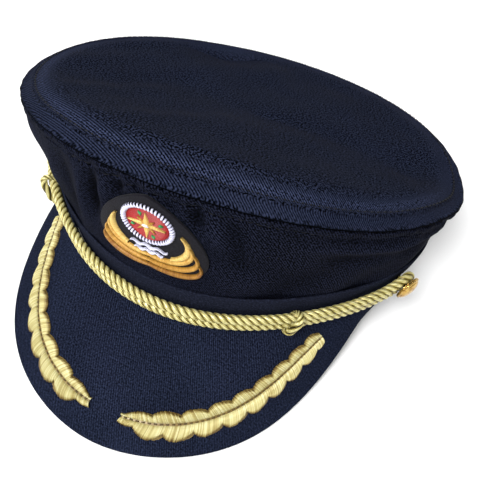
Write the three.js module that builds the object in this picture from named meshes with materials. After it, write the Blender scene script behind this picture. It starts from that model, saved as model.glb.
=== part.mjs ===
// Soft peaked captain's cap, in millimetres. The front faces -Y and up is +Z. The cap stands as it
// would on a table: on the front of its visor and on the back of its head band.
import * as THREE from 'three';
import { mergeVertices } from 'three/addons/utils/BufferGeometryUtils.js';

// Gap between neighbouring pieces and thickness of the crown cloth
const GAP = 0.3;
const CLOTH = 1.8;

// Head opening: half width, half depth, place of its middle, how much the front corners are drawn in,
// and the soft hollow by the right button
const HEAD = {
  wide: 92.2, deep: 88, right: 1.2, drawn: -0.056, hollow: 5.4, hollowAt: -70, hollowWide: 30,
};

// Seam between the side panel and the top panel
const SEAM = {
  wide: 105.7, deep: 108.8, square: -0.018, narrowFront: 0.025, right: -1.1, forward: 5.4,
  height: 59.3, frontRise: 17.2, endsRise: 3.3, leftRise: 4.3, frontPeak: 1.7,
};

// Soft corner at the wearer's left, where the seam hangs down and out and the roll above it is lower
const CORNER = { at: 95, wide: 17, drop: 3.7, out: 2.7, flat: 2 };

// How far the side panel swells out at the wearer's two ears, half way up
const BELLY = { left: 1.1, right: 2.6 };

// Top panel: rolled rim above the seam, slack in the middle, one soft dent in the back rim
const TOP = {
  rollUp: 6.6, rollFront: 1.7, rollIn: 16, slack: 3.5, dentAt: -149, dentWide: 11, dentDeep: 4.5,
};

// Plain strip round the foot of the side panel, a little higher at the sides
const STRIP = { high: 20.5, leftRise: 2.5, sideRise: 5, thick: 1.2 };

// Visor: length at the centre, half angle, slope of its cover in degrees at centre and corner, and
// how far its outline stands wide of the head opening at the ears
const VISOR = {
  long: 66.2, half: 74, slope: 43.1, slopeGain: 36.7, spread: 4.6, thick: 2, flange: 1, foot: -0.6,
};

// Cord: strand radius, half pitch of the two strands, height at the centre, rise to the buttons,
// distance from the panel, radius and length of the eye round a shank. Lengths along the cord are
// counted on a circle of radius bend.
const CORD = {
  radius: 2.2, pitch: 2.4, high: 6.5, rise: 13, out: 5, eye: 4.3, eyeLong: 14, bend: 92,
};
const BUTTON = { at: 75, shank: 1.5, dome: 6.8, edge: 0.7, rise: 3.8 };
const SLIDE = { thick: 3.2, behind: 0.5, wide: 1.5, slant: 0.35, slack: 0.6 };
const SLIDES = { cord_slide_left: 38, cord_slide_right: -50 };

// Badge: its broad line as a share of the panel's height, the patch about that line, the round disc
const BADGE = { share: 0.485, half: 24.5, waist: 5, below: 16, above: 31.5, thick: 1.1 };
const DISC = { up: 20, radius: 11.5, thick: 1 };

// Leaf sprigs on the visor: angles of the two ends, the rib's distance from the band as a cubic of
// the angle in radians, widths beside the rib, number of scallops, height of edge and crest
const SPRIG = {
  from: 3.1, to: 50.9, rib: [49.7, 10.2, -120, 61.2], outer: 8.2, inner: 5, lobes: 9, low: 0.8, high: 1.7,
};

const ROUND = 64;
const rad = (degrees) => degrees * Math.PI / 180;
const mix = (a, b, t) => a + (b - a) * t;
const atLeast = (x, low) => (x + low + Math.hypot(x - low, 1)) / 2;
const steps = (count) => Array.from({ length: count + 1 }, (_, i) => i / count);
const turns = (count) => steps(count).slice(0, count).map((s) => 2 * Math.PI * s);

// Lines of the cap, by the angle round the head: 0 is the front, positive toward +X

function hollow(a) {
  const off = Math.atan2(Math.sin(a - rad(HEAD.hollowAt)), Math.cos(a - rad(HEAD.hollowAt)));
  return HEAD.hollow * Math.exp(-((off / rad(HEAD.hollowWide)) ** 2));
}

function headLine(a) {
  const fuller = 1 + (Math.cos(a) > 0 ? HEAD.drawn * Math.sin(2 * a) ** 2 : 0);
  const across = HEAD.wide * fuller - hollow(a);
  return new THREE.Vector3(
    HEAD.right + across * Math.sin(a), -(HEAD.deep * fuller - hollow(a)) * Math.cos(a), 0,
  );
}

function corner(a) {
  const off = Math.atan2(Math.sin(a - rad(CORNER.at)), Math.cos(a - rad(CORNER.at)));
  return Math.exp(-((off / rad(CORNER.wide)) ** 2));
}

function seamHeight(a) {
  return SEAM.height + SEAM.frontRise * Math.cos(a) + SEAM.endsRise * Math.cos(2 * a)
    + SEAM.leftRise * Math.sin(a) + SEAM.frontPeak * Math.cos(3 * a) - CORNER.drop * corner(a);
}

function seamLine(a) {
  const fuller = 1 + SEAM.square * Math.sin(2 * a) ** 2;
  const out = CORNER.out * corner(a);
  return new THREE.Vector3(
    (SEAM.right + SEAM.wide * Math.sin(a) * fuller) * (1 - SEAM.narrowFront * Math.cos(a)) + out * Math.sin(a),
    -SEAM.forward - SEAM.deep * Math.cos(a) * fuller - out * Math.cos(a),
    seamHeight(a),
  );
}

function outward(line, a) {
  const run = line(a + 0.001).sub(line(a - 0.001));
  return new THREE.Vector3(run.y, -run.x, 0).normalize();
}

// Point of the side panel's face at a share of its height, moved out of the cloth
function onPanel(a, share, out) {
  const line = (b) => headLine(b).lerp(seamLine(b), share);
  const belly = Math.sin(a) > 0 ? BELLY.left : BELLY.right;
  const swell = belly * (Math.sin(a) * Math.sin(Math.PI * share)) ** 2;
  return line(a).addScaledVector(outward(line, a), out + swell);
}

function atHeight(a, z, out) {
  return onPanel(a, Math.max(z, 0) / seamHeight(a), out).setZ(z);
}

// Point of the visor's cover at a distance from the head band, moved off the cover
function visorReach(a) {
  const t = Math.abs(a) / rad(VISOR.half);
  return VISOR.long * (1 - (t * t + 0.002) ** 0.8);
}

function coverPoint(a, distance) {
  const t = a / rad(VISOR.half);
  const slope = rad(VISOR.slope + VISOR.slopeGain * t * t);
  const reach = Math.max(visorReach(a), 0);
  const start = STRIP.thick + 2 * GAP + VISOR.flange;
  const wider = (VISOR.spread * Math.sin(a) ** 2 - HEAD.right * Math.sin(a) + hollow(a)) * (1 - t ** 6);
  const run = atLeast(reach * Math.cos(slope) + wider - start, 0.6);
  const drop = atLeast(reach * Math.sin(slope) + VISOR.foot, 0.8);
  const share = distance / Math.max(reach, 1);
  const point = headLine(a).addScaledVector(outward(headLine, a), start + run * share);
  return point.setZ(VISOR.foot - drop * share);
}

function onCover(a, distance, lift) {
  const d = 0.01;
  const around = coverPoint(a + d, distance).sub(coverPoint(a - d, distance));
  const away = coverPoint(a, distance + 1).sub(coverPoint(a, distance - 1));
  const normal = away.cross(around).normalize();
  if (normal.z < 0) normal.negate();
  return coverPoint(a, distance).addScaledVector(normal, lift);
}

// Skin through a list of rings. An open list is closed at both ends by a fan.
function skin(rings, closed) {
  const n = rings[0].length;
  const points = rings.flat();
  const faces = [];
  const last = closed ? rings.length : rings.length - 1;
  for (let i = 0; i < last; i++) {
    const here = i * n;
    const next = ((i + 1) % rings.length) * n;
    for (let j = 0; j < n; j++) {
      const k = (j + 1) % n;
      faces.push(here + j, here + k, next + k, here + j, next + k, next + j);
    }
  }
  if (!closed) {
    for (const end of [0, rings.length - 1]) {
      const middle = new THREE.Vector3();
      rings[end].forEach((p) => middle.addScaledVector(p, 1 / n));
      points.push(middle);
      const hub = points.length - 1;
      for (let j = 0; j < n; j++) {
        const pair = [end * n + (j + 1) % n, end * n + j];
        if (end > 0) pair.reverse();
        faces.push(hub, ...pair);
      }
    }
  }
  if (signedVolume(points, faces) < 0) faces.reverse();
  const geometry = new THREE.BufferGeometry().setFromPoints(points);
  geometry.setIndex(faces);
  return mergeVertices(geometry, 1e-5);
}

function signedVolume(points, faces) {
  const cross = new THREE.Vector3();
  let total = 0;
  for (let i = 0; i < faces.length; i += 3) {
    cross.crossVectors(points[faces[i + 1]], points[faces[i + 2]]);
    total += points[faces[i]].dot(cross) / 6;
  }
  return total;
}

const roundHead = turns(ROUND);

// Crown

function sidePanel() {
  return skin(roundHead.map((a) => {
    const shares = steps(5);
    const face = (share, out) => {
      const p = onPanel(a, share, out);
      return p.setZ(p.z - share * GAP / 2);
    };
    return [...shares.map((s) => face(s, 0)), ...shares.reverse().map((s) => face(s, -CLOTH))];
  }), true);
}

function dent(a, share) {
  const off = Math.atan2(Math.sin(a - rad(TOP.dentAt)), Math.cos(a - rad(TOP.dentAt)));
  return TOP.dentDeep * Math.exp(-((off / rad(TOP.dentWide)) ** 2)) * share ** 4;
}

// Rim of the top panel: turn 0 stands on the seam, turn 1 lies level
function rim(a, turn, inside) {
  const angle = turn * Math.PI / 2;
  const up = TOP.rollUp + TOP.rollFront * Math.cos(a) - CORNER.flat * corner(a) - inside;
  const out = -inside - (TOP.rollIn - inside) * (1 - Math.cos(angle));
  const point = seamLine(a).addScaledVector(outward(seamLine, a), out);
  return point.setZ(point.z + GAP / 2 + (up - dent(a, turn)) * Math.sin(angle));
}

function topPanel() {
  const middle = new THREE.Vector3(SEAM.right, -SEAM.forward, SEAM.height + TOP.rollUp - TOP.slack);
  const level = (a, share, inside) => {
    const edge = rim(a, 1, inside);
    const z = mix(middle.z - inside, edge.z, share) + TOP.slack * share * (share - 1);
    return middle.clone().lerp(edge, share).setZ(z + dent(a, 1) * share - dent(a, share));
  };
  const shares = [0.12, 0.4, 0.7, 0.88];
  const rolls = [1, 0.72, 0.45, 0.2, 0];
  return skin([
    ...shares.map((s) => roundHead.map((a) => level(a, s, 0))),
    ...rolls.map((t) => roundHead.map((a) => rim(a, t, 0))),
    ...rolls.reverse().map((t) => roundHead.map((a) => rim(a, t, CLOTH))),
    ...shares.reverse().map((s) => roundHead.map((a) => level(a, s, CLOTH))),
  ], false);
}

function bandStrip() {
  return skin(roundHead.map((a) => {
    const high = STRIP.high + STRIP.leftRise * Math.sin(a) + STRIP.sideRise * Math.sin(a) ** 2;
    const heights = steps(3).map((s) => high * s);
    return [
      ...heights.map((z) => atHeight(a, z, GAP + STRIP.thick)),
      ...heights.reverse().map((z) => atHeight(a, z, GAP)),
    ];
  }), true);
}

// Visor with a short flange sewn up against the strip

function visor() {
  const inner = STRIP.thick + 2 * GAP;
  const shares = steps(6);
  return skin(steps(56).map((s) => {
    const a = rad(VISOR.half) * (2 * s - 1) * 0.995;
    const reach = Math.max(visorReach(a), 1);
    const cover = shares.map((k) => coverPoint(a, k * reach));
    const lining = shares.map((k) => onCover(a, k * reach, -VISOR.thick));
    lining[0].z = Math.min(lining[0].z, -GAP - 0.2);
    return [
      atHeight(a, 1, inner + VISOR.flange), ...cover, ...lining.reverse(),
      atHeight(a, -GAP - 0.1, inner), atHeight(a, 1, inner),
    ];
  }), false);
}

// Cord: one closed loop round both button shanks, lying on the strip

function cordPlace(along, up, out) {
  const a = along / CORD.bend;
  const t = Math.min(Math.abs(a) / rad(BUTTON.at), 1);
  return atHeight(a, CORD.high + CORD.rise * t * t + up, CORD.out + out);
}

function cordLoop() {
  const end = rad(BUTTON.at) * CORD.bend;
  const half = (along) => {
    const near = THREE.MathUtils.smoothstep(Math.abs(along), end - CORD.eyeLong, end);
    return mix(CORD.pitch, CORD.eye, near);
  };
  const run = steps(32).map((s) => end * (2 * s - 1));
  const bend = steps(8).slice(1, 8).map((s) => Math.PI * s);
  const eye = (side) => bend.map((b) => cordPlace(
    side * (end + CORD.eye * Math.sin(b)), side * CORD.eye * Math.cos(b), 0,
  ));
  return tube([
    ...run.map((u) => cordPlace(u, half(u), 0)), ...eye(1),
    ...run.reverse().map((u) => cordPlace(u, -half(u), 0)), ...eye(-1),
  ], CORD.radius, 8);
}

function tube(path, radius, sides) {
  const n = path.length;
  return skin(path.map((p, i) => {
    const along = path[(i + 1) % n].clone().sub(path[(i + n - 1) % n]).normalize();
    const side = along.clone().cross(new THREE.Vector3(p.x, p.y, 0)).normalize();
    const face = side.clone().cross(along);
    return turns(sides).map((b) => p.clone()
      .addScaledVector(side, radius * Math.cos(b))
      .addScaledVector(face, radius * Math.sin(b)));
  }), true);
}

// Slide: a slanted wrap round both strands, thin where it passes behind them
function cordSlide(at) {
  const section = [[0, -1], [0.5, -1.6], [1, -1], [1, 1], [0.5, 1.6], [0, 1]];
  return skin(turns(24).map((b) => {
    const c = Math.cos(b + rad(7.5));
    const s = Math.sin(b + rad(7.5));
    const thick = mix(SLIDE.behind, SLIDE.thick, (1 + c) / 2);
    return section.map(([deep, wide]) => {
      const r = CORD.radius + SLIDE.slack + thick * deep;
      const up = r * s + CORD.pitch * Math.sign(s);
      const lean = SLIDE.slant * Math.sign(at) * up;
      return cordPlace(rad(at) * CORD.bend + wide * SLIDE.wide + lean, up, r * c);
    });
  }), true);
}

// Button: a dome on a shank, turned on the Y axis and set square to the panel
function button(side) {
  const back = CORD.radius + GAP + 0.1;
  const dome = steps(5).map((s) => [
    BUTTON.dome * Math.cos(s * Math.PI / 2),
    back + BUTTON.edge + (BUTTON.rise - BUTTON.edge) * Math.sin(s * Math.PI / 2),
  ]);
  dome[5][0] = 0;
  const wall = STRIP.thick + 2 * GAP - CORD.out;
  const profile = [
    [0, wall], [BUTTON.shank, wall], [BUTTON.shank, back], [BUTTON.dome - BUTTON.edge, back], ...dome,
  ];
  const geometry = new THREE.LatheGeometry(profile.map(([x, y]) => new THREE.Vector2(x, y)), 24);
  geometry.deleteAttribute('normal').deleteAttribute('uv');
  const along = rad(BUTTON.at) * side * CORD.bend;
  const up = cordPlace(along, 2, 0).sub(cordPlace(along, -2, 0)).normalize();
  const across = new THREE.Vector3(0, 0, 1).cross(outward(headLine, along / CORD.bend)).negate();
  const place = new THREE.Matrix4().makeBasis(across, up.clone().cross(across), up);
  return mergeVertices(geometry.applyMatrix4(place.setPosition(cordPlace(along, 0, 0))), 1e-5);
}

// Badge

function onFront(x, y, out) {
  const long = headLine(0).distanceTo(seamLine(0));
  const share = BADGE.share + y / long;
  return onPanel(x / mix(HEAD.wide, SEAM.wide, share), share, out);
}

// Edge of the patch in millimetres: broad below, a round head above
function patchEdge(b) {
  const c = Math.cos(b);
  const s = Math.sin(b);
  const wide = (power) => BADGE.half * Math.sign(c) * Math.abs(c) ** power;
  if (s < 0) return [wide(0.75), BADGE.waist + BADGE.below * s];
  return [wide(1.5), BADGE.waist + BADGE.above * s ** 1.1];
}

function plate(edge, middle, sides, low, high) {
  const ring = (share, out) => turns(sides).map((b) => {
    const [x, y] = edge(b);
    return onFront(x * share, mix(middle, y, share), out);
  });
  return skin([
    ring(0.15, high), ring(0.55, high), ring(0.95, high), ring(1, high - 0.2),
    ring(1, low), ring(0.55, low), ring(0.15, low),
  ], false);
}

const discEdge = (b) => [DISC.radius * Math.cos(b), DISC.up + DISC.radius * Math.sin(b)];

// Leaf sprig: a padded ribbon with scalloped edges round a stitched rib
function sprig(side) {
  const line = (a) => SPRIG.rib.reduce((sum, factor, power) => sum + factor * Math.abs(a) ** power, 0);
  return skin(steps(50).map((s) => {
    const a = side * rad(mix(SPRIG.from, SPRIG.to, s));
    const around = onCover(a + 0.005, line(a), 0).distanceTo(onCover(a - 0.005, line(a), 0)) / 0.01;
    const rise = (line(a + 0.005) - line(a - 0.005)) / 0.01;
    const size = Math.hypot(around, rise);
    const ends = Math.min(1, 0.3 + 5 * s, 0.45 + 9 * (1 - s));
    const lobe = (shift) => 0.8 + 0.2 * Math.abs(Math.cos(Math.PI * (SPRIG.lobes * s + shift)));
    const outer = SPRIG.outer * ends * (1 - 0.25 * s) * lobe(0);
    const inner = SPRIG.inner * ends * (1 - 0.15 * s) * lobe(0.4);
    const place = (off, lift) => onCover(
      a - off * rise / size / around, line(a) + off * around / size, lift,
    );
    return [
      place(-inner, GAP), place(-inner, SPRIG.low), place(-inner / 2, SPRIG.high),
      place(0, SPRIG.high - 0.4), place(outer / 2, SPRIG.high), place(outer, SPRIG.low),
      place(outer, GAP),
    ];
  }), false);
}

// Turn the cap about X until visor and head band stand on the same level

function lowest(geometries) {
  return Math.min(...geometries.map((g) => {
    g.computeBoundingBox();
    return g.boundingBox.min.z;
  }));
}

const COLOUR = {
  navy: '#1a2036', strip: '#252b40', gold: '#cdb95f', metal: '#c9a545', patch: '#2b2a3a', red: '#a51b22',
};
const patchTop = GAP + BADGE.thick;
const pieces = {
  crown_side: [sidePanel(), COLOUR.navy],
  crown_top: [topPanel(), COLOUR.navy],
  band_strip: [bandStrip(), COLOUR.strip],
  visor: [visor(), COLOUR.navy],
  chin_cord: [cordLoop(), COLOUR.gold],
  button_left: [button(1), COLOUR.metal],
  button_right: [button(-1), COLOUR.metal],
  badge_patch: [plate(patchEdge, BADGE.waist, 48, GAP, patchTop), COLOUR.patch],
  badge_disc: [plate(discEdge, DISC.up, 32, patchTop + GAP, patchTop + GAP + DISC.thick), COLOUR.red],
  sprig_left: [sprig(1), COLOUR.gold],
  sprig_right: [sprig(-1), COLOUR.gold],
};
for (const [name, at] of Object.entries(SLIDES)) pieces[name] = [cordSlide(at), COLOUR.gold];

// Angle at which the visor and the head band stand on the same level, found by halving
const turned = (geometry, angle) => geometry.clone().rotateX(angle);
let tilt = 0;
for (let step = rad(16); step > 1e-8; step /= 2) {
  const front = lowest([turned(pieces.visor[0], tilt - step)]);
  const back = lowest([turned(pieces.crown_side[0], tilt - step), turned(pieces.band_strip[0], tilt - step)]);
  if (front < back) tilt -= step;
}

const worn = new THREE.Group();
worn.rotation.x = tilt;
const box = new THREE.Box3();
for (const [name, [geometry, colour]] of Object.entries(pieces)) {
  const metal = name.startsWith('button');
  const material = new THREE.MeshStandardMaterial({
    color: colour, roughness: metal ? 0.3 : 0.9, metalness: metal ? 0.9 : 0,
  });
  const mesh = new THREE.Mesh(geometry, material);
  mesh.name = name;
  worn.add(mesh);
  box.union(new THREE.Box3().setFromBufferAttribute(turned(geometry, tilt).getAttribute('position')));
}
const foot = box.getCenter(new THREE.Vector3()).setZ(box.min.z);
worn.position.copy(foot).negate();

const cap = new THREE.Group();
cap.name = 'captains_cap';
cap.add(worn);

export default cap;
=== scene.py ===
"""Soft peaked captain's cap: cloth, cord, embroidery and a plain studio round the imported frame.

Shapes are worked out in millimetres in the cap's own axes: the foot of the head band lies in z = 0,
the front faces -Y. rest() then sets the cap down as it stands, in metres.
"""
import math

import bpy
import numpy as np
from mathutils import Matrix, Vector


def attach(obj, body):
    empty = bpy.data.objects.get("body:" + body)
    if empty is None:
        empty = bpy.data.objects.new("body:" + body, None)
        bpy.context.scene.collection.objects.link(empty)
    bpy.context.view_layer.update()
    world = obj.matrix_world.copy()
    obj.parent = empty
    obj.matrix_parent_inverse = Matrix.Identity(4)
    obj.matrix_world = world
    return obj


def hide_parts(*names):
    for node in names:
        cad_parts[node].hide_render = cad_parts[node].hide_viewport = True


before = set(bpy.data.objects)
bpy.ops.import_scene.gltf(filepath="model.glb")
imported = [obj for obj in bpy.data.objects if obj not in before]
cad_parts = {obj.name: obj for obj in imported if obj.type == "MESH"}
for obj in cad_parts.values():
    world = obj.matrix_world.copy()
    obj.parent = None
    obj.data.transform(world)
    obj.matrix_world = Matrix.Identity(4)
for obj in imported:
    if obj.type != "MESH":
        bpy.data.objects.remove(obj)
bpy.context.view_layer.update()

# How the cap stands: its turn about X, then the place of the head band's centre in mm
REST_TILT = math.radians(-11.8059)
REST_PLACE = np.array([-0.1381, 16.0687, 18.3115])

# Driving dimensions in mm and degrees
GAP = 0.3
CLOTH = 1.8
HEAD = dict(wide=92.2, deep=88, right=1.2, drawn=-0.056, hollow=5.4, hollow_at=-70, hollow_wide=30)
SEAM = dict(wide=105.7, deep=108.8, square=-0.018, narrow_front=0.025, right=-1.1, forward=5.4,
            height=59.3, front_rise=17.2, ends_rise=3.3, left_rise=4.3, front_peak=1.7)
CORNER = dict(at=95, wide=17, drop=3.7, out=2.7, flat=2)
BELLY = dict(left=1.1, right=2.6)
TOP = dict(roll_up=6.6, roll_front=1.7, roll_in=16, slack=3.5, dent_at=-150, dent_wide=13, dent_deep=6.2)
STRIP = dict(high=20.5, left_rise=2.5, side_rise=5, thick=1.2)
VISOR = dict(long=66.2, half=74, slope=43.1, slope_gain=36.7, spread=4.6, thick=2, flange=1, foot=-0.6)
CORD = dict(radius=2.2, pitch=2.4, high=6.5, rise=13, out=5, eye=4.3, eye_long=14, bend=92, lay=10.3)
HUG = dict(depth=1.2, start=(54, 59), end=(64, 70))
PLY = dict(off=0.49, thick=0.56, wide=0.57)
BUTTON = dict(at=75, shank=1.5, dome=6.8, rise=3.8, lip=0.8, reeds=24)
SLIDE = dict(thick=3.5, behind=0.5, slant=0.35, slack=0.6, lay=9.0)
SLIDES = {"cord_slide_left": 38, "cord_slide_right": -50}
BADGE = dict(share=0.485, half=24.5, waist=5, below=16, above=31.5, thick=1.1)
DISC = dict(up=20, field=9.3, ring=11.4)
SPRIG = dict(start=3.1, end=50.9, rib=(49.7, 10.2, -120, 61.2), outer=8.0, inner=5.8, lobes=9,
             threads=290, lean=0.018, stitches=44)

# Topstitching: distance from the seam, stitch and gap lengths
STITCH = dict(off=6.2, long=2.7, gap=0.9)

# Sewing along the crown seam: where the stitches lie, how far the cloth rises over its allowance, sinks
# under the stitches and tucks into the seam, each with its width, and how dark the painted shade in the seam
# is
SIDE_SEWING = dict(at=STITCH["off"], allowance=0.75, rise=1.6, groove=0.8, groove_wide=1.0,
                   tuck=1.6, tuck_wide=1.1, dark=0.8, dark_wide=0.7)
TOP_SEWING = dict(at=STITCH["off"] + 0.2, allowance=0.65, rise=1.5, groove=0.7, groove_wide=0.9,
                  tuck=1.2, tuck_wide=0.9, dark=0.7, dark_wide=0.6)

# The visor's rounded edge and the seam along it: depths, widths, and the seam's distance from the edge
VISOR_EDGE = dict(round=0.5, round_wide=0.7, seam=0.22, seam_at=2.6, seam_wide=0.7)

# Mean radii that turn an angle round the head into a run of cloth
ROUND = dict(head=96, middle=100, seam=104)


# Small helpers

def mix(a, b, t):
    return a + (b - a) * t


def at_least(x, low):
    """The larger of the two, without a crease where they cross."""
    return (x + low + np.hypot(x - low, 1)) / 2


def bump(x, centre, width):
    return np.exp(-((x - centre) / width) ** 2)


def smooth(x, low, high):
    t = np.clip((x - low) / (high - low), 0, 1)
    return t * t * (3 - 2 * t)


def unit(v):
    return v / np.maximum(np.linalg.norm(v, axis=-1, keepdims=True), 1e-9)


def waves(points, size, seed, count=24):
    """Smooth noise of about unit strength: a sum of plane waves of about the given size in mm."""
    rng = np.random.default_rng(seed)
    total = 0
    for _ in range(count):
        way = unit(rng.normal(size=3)) * (2 * math.pi / size) * rng.uniform(0.6, 1.5)
        total = total + np.sin(points @ way + rng.uniform(0, 2 * math.pi))
    return total / math.sqrt(count / 2)


def rest(points):
    c, s = math.cos(REST_TILT), math.sin(REST_TILT)
    x, y, z = points[..., 0], points[..., 1], points[..., 2]
    turned = np.stack([x, y * c - z * s, y * s + z * c], -1)
    return (turned + REST_PLACE) * 0.001


# Lines of the cap, by the angle round the head: 0 is the front, positive toward +X

def turn_from(a, at):
    """Angle past the one given in degrees, between half a turn back and half a turn on."""
    past = a - math.radians(at)
    return np.arctan2(np.sin(past), np.cos(past))


def hollow(a):
    """How far the head line is pressed in behind the right button."""
    return HEAD["hollow"] * bump(turn_from(a, HEAD["hollow_at"]), 0, math.radians(HEAD["hollow_wide"]))


def head_line(a):
    """The foot of the side panel, round the head."""
    a = np.asarray(a, float)
    fuller = 1 + np.where(np.cos(a) > 0, HEAD["drawn"] * np.sin(2 * a) ** 2, 0)
    x = HEAD["right"] + (HEAD["wide"] * fuller - hollow(a)) * np.sin(a)
    return np.stack([x, -(HEAD["deep"] * fuller - hollow(a)) * np.cos(a), 0 * a], -1)


def corner(a):
    return bump(turn_from(a, CORNER["at"]), 0, math.radians(CORNER["wide"]))


def seam_height(a):
    return (SEAM["height"] + SEAM["front_rise"] * np.cos(a) + SEAM["ends_rise"] * np.cos(2 * a)
            + SEAM["left_rise"] * np.sin(a) + SEAM["front_peak"] * np.cos(3 * a) - CORNER["drop"] * corner(a))


def seam_line(a):
    """The seam between the side panel and the top."""
    a = np.asarray(a, float)
    fuller = 1 + SEAM["square"] * np.sin(2 * a) ** 2
    x = (SEAM["right"] + SEAM["wide"] * np.sin(a) * fuller) * (1 - SEAM["narrow_front"] * np.cos(a))
    y = -SEAM["forward"] - SEAM["deep"] * np.cos(a) * fuller
    out = CORNER["out"] * corner(a)
    return np.stack([x + out * np.sin(a), y - out * np.cos(a), seam_height(a)], -1)


def panel_length(a):
    """Length of the side panel along the cloth."""
    return np.linalg.norm(seam_line(a) - head_line(a), axis=-1)


def outward(line, a):
    """Level direction away from the head."""
    run = line(a + 0.001) - line(a - 0.001)
    return unit(np.stack([run[..., 1], -run[..., 0], 0 * run[..., 0]], -1))


def on_panel(a, share, out):
    """Point of the side panel at a share of its height, lifted out of the cloth."""
    a, share, out = np.broadcast_arrays(np.asarray(a, float), share, out)

    def line(b):
        return mix(head_line(b), seam_line(b), share[..., None])

    belly = np.where(np.sin(a) > 0, BELLY["left"], BELLY["right"])
    swell = belly * (np.sin(a) * np.sin(math.pi * share)) ** 2
    return line(a) + outward(line, a) * (out + swell)[..., None]


def at_height(a, z, out):
    """Point of the side panel at a height over its foot, lifted out of the cloth."""
    a, z, out = np.broadcast_arrays(np.asarray(a, float), z, out)
    point = on_panel(a, np.maximum(z, 0) / seam_height(a), out)
    point[..., 2] = z
    return point


def strip_height(a):
    return STRIP["high"] + STRIP["left_rise"] * np.sin(a) + STRIP["side_rise"] * np.sin(a) ** 2


def visor_reach(a):
    t = np.abs(a) / math.radians(VISOR["half"])
    return VISOR["long"] * (1 - (t * t + 0.002) ** 0.8)


def cover_point(a, distance):
    """Point of the visor's upper face at a distance down from its head edge."""
    a, distance = np.broadcast_arrays(np.asarray(a, float), distance)
    t = a / math.radians(VISOR["half"])
    slope = np.radians(VISOR["slope"] + VISOR["slope_gain"] * t * t)
    reach = np.maximum(visor_reach(a), 0)
    start = STRIP["thick"] + 2 * GAP + VISOR["flange"]
    wider = (VISOR["spread"] * np.sin(a) ** 2 - HEAD["right"] * np.sin(a) + hollow(a)) * (1 - t ** 6)
    run = at_least(reach * np.cos(slope) + wider - start, 0.6)
    drop = at_least(reach * np.sin(slope) + VISOR["foot"], 0.8)
    share = distance / np.maximum(reach, 1)
    point = head_line(a) + outward(head_line, a) * (start + run * share)[..., None]
    point[..., 2] = VISOR["foot"] - drop * share
    return point


def on_cover(a, distance, lift):
    """Point of the visor's upper face, lifted square off it."""
    a, distance, lift = np.broadcast_arrays(np.asarray(a, float), distance, lift)
    around = cover_point(a + 0.01, distance) - cover_point(a - 0.01, distance)
    away = cover_point(a, distance + 1) - cover_point(a, distance - 1)
    normal = unit(np.cross(away, around))
    normal = normal * np.where(normal[..., 2:] < 0, -1, 1)
    return cover_point(a, distance) + normal * lift[..., None]


def on_front(x, y, out):
    """Point of the front of the side panel, from the middle of the badge's broad line."""
    share = BADGE["share"] + np.asarray(y, float) / panel_length(0)
    return on_panel(np.asarray(x, float) / mix(HEAD["wide"], SEAM["wide"], share), share, out)


# Meshes

def mesh_object(name, points, faces, cloth=None, shade=None):
    """A smooth mesh from points in mm and lists of faces, with its weave and shade kept on the points."""
    points = rest(np.asarray(points, float).reshape(-1, 3))
    loops = np.concatenate([np.asarray(f).ravel() for f in faces]).astype(np.int32)
    sizes = np.concatenate([np.full(len(f), np.asarray(f).shape[1]) for f in faces]).astype(np.int32)
    mesh = bpy.data.meshes.new(name)
    mesh.vertices.add(len(points))
    mesh.vertices.foreach_set("co", points.astype(np.float32).ravel())
    mesh.loops.add(len(loops))
    mesh.loops.foreach_set("vertex_index", loops)
    mesh.polygons.add(len(sizes))
    mesh.polygons.foreach_set("loop_start", np.concatenate([[0], np.cumsum(sizes)[:-1]]).astype(np.int32))
    mesh.update(calc_edges=True)
    mesh.polygons.foreach_set("use_smooth", np.ones(len(sizes), bool))
    if cloth is not None:
        layer = mesh.attributes.new("cloth", "FLOAT_VECTOR", "POINT")
        layer.data.foreach_set("vector", np.asarray(cloth, np.float32).reshape(-1, 3).ravel())
    if shade is not None:
        layer = mesh.attributes.new("shade", "FLOAT", "POINT")
        layer.data.foreach_set("value", np.asarray(shade, np.float32).ravel())
    mesh.validate()
    piece = bpy.data.objects.new(name, mesh)
    bpy.context.scene.collection.objects.link(piece)
    return piece


def ring_faces(rows, columns, wrap):
    """Faces over rows of closed rings. The first and last rings are capped unless the rows wrap."""
    i = np.arange(rows if wrap else rows - 1)[:, None]
    j = np.arange(columns)[None, :]
    k = (j + 1) % columns
    n = (i + 1) % rows
    quads = np.stack([i * columns + j, i * columns + k, n * columns + k, n * columns + j], -1)
    faces = [quads.reshape(-1, 4)]
    if not wrap:
        faces.append(np.arange(columns)[None, ::-1])
        faces.append((rows - 1) * columns + np.arange(columns)[None, :])
    return faces


def swept(name, rings, wrap, cloth=None, shade=None):
    """A closed skin over rings of points (rows, columns, 3), turned so that its faces look out."""
    rows, columns = rings.shape[:2]
    faces = ring_faces(rows, columns, wrap)
    quads = faces[0]
    flat = rings.reshape(-1, 3)
    middle = flat.mean(0)
    a, b, c, d = (flat[quads[:, i]] - middle for i in range(4))
    volume = np.einsum("ij,ij->i", a, np.cross(b, c)).sum() + np.einsum("ij,ij->i", a, np.cross(c, d)).sum()
    if volume < 0:
        faces = [f[:, ::-1] for f in faces]
    return mesh_object(name, flat, faces, cloth, shade)


def push(grid, amount):
    """Moves a grid of points along its own normals."""
    along = np.gradient(grid, axis=0)
    across = np.gradient(grid, axis=1)
    normal = unit(np.cross(along, across))
    return grid + normal * amount[..., None]


def arc_lengths(points):
    step = np.linalg.norm(np.diff(points, axis=0), axis=-1)
    return np.concatenate([np.zeros((1,) + step.shape[1:]), np.cumsum(step, axis=0)])


# Materials

def new_material(name):
    material = bpy.data.materials.new(name)
    material.use_nodes = True
    tree = material.node_tree
    return material, tree, tree.nodes["Principled BSDF"]


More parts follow.
